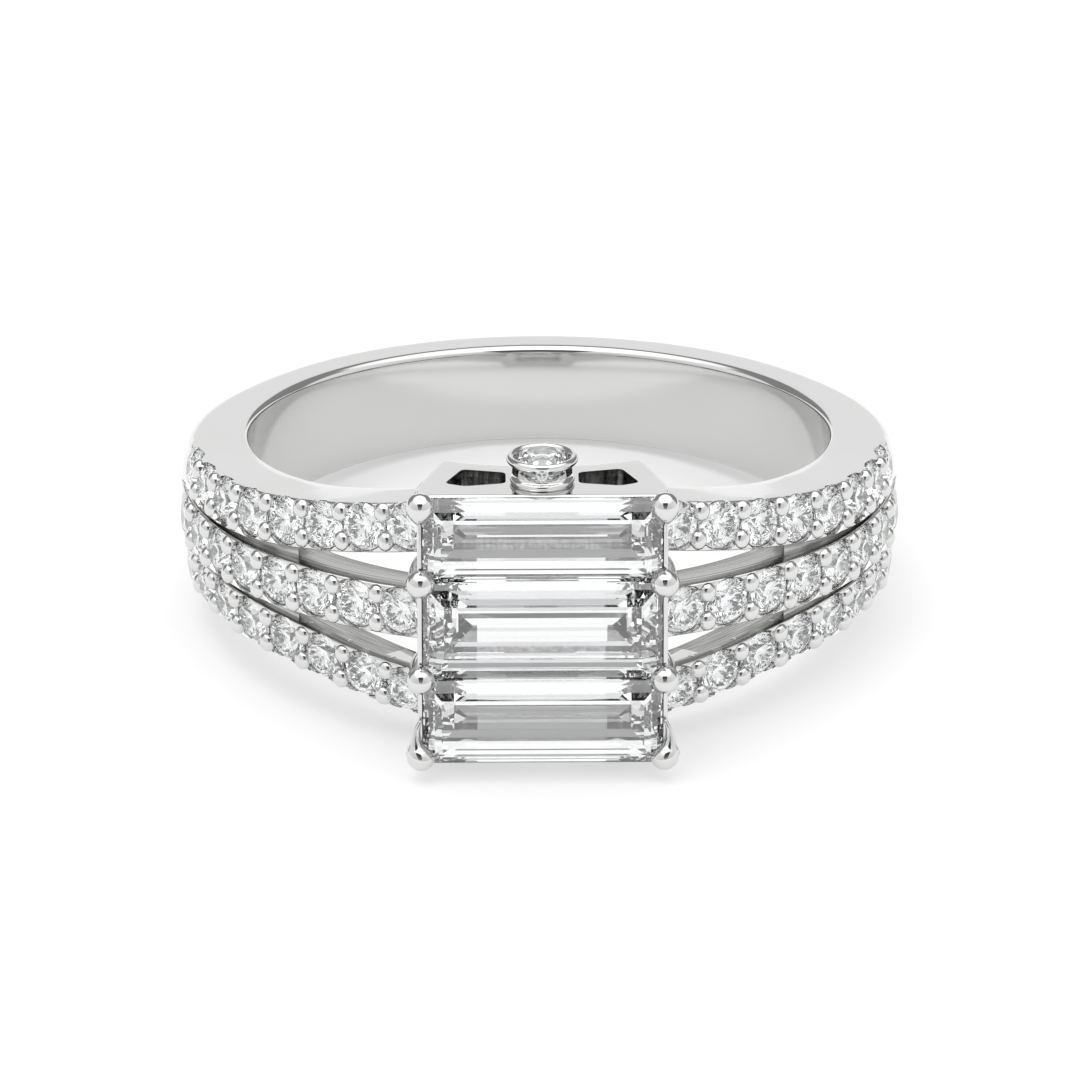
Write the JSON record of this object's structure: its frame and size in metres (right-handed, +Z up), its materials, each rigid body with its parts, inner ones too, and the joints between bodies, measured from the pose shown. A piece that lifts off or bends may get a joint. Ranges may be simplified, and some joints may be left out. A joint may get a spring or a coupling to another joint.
{
  "type": "three-stone ring",
  "caption": "Finger ring in polished white metal with step-cut rectangular stones in a prong basket, a split paved shank and a small bezel-set stone on the side of the head.",
  "frame": {"origin": "on the surface that the ring lies on, under the middle of its bounding box", "axes": "+Z up, head towards -Y, +X to the wearer's side along the large stones; the finger axis leans 8.35 degrees from +Z towards +Y, because the ring rests on the basket and the back of the band"},
  "size_m": [0.0202, 0.0212, 0.009],
  "materials": {
    "platinum": "mirror-polished platinum",
    "diamond": "cut and polished colourless diamond"
  },
  "bodies": {
    "root": {"ring_mount": "platinum", "upper_baguette": "diamond", "middle_baguette": "diamond", "lower_baguette": "diamond", "gallery_brilliant": "diamond"}
  },
  "joints": []
}
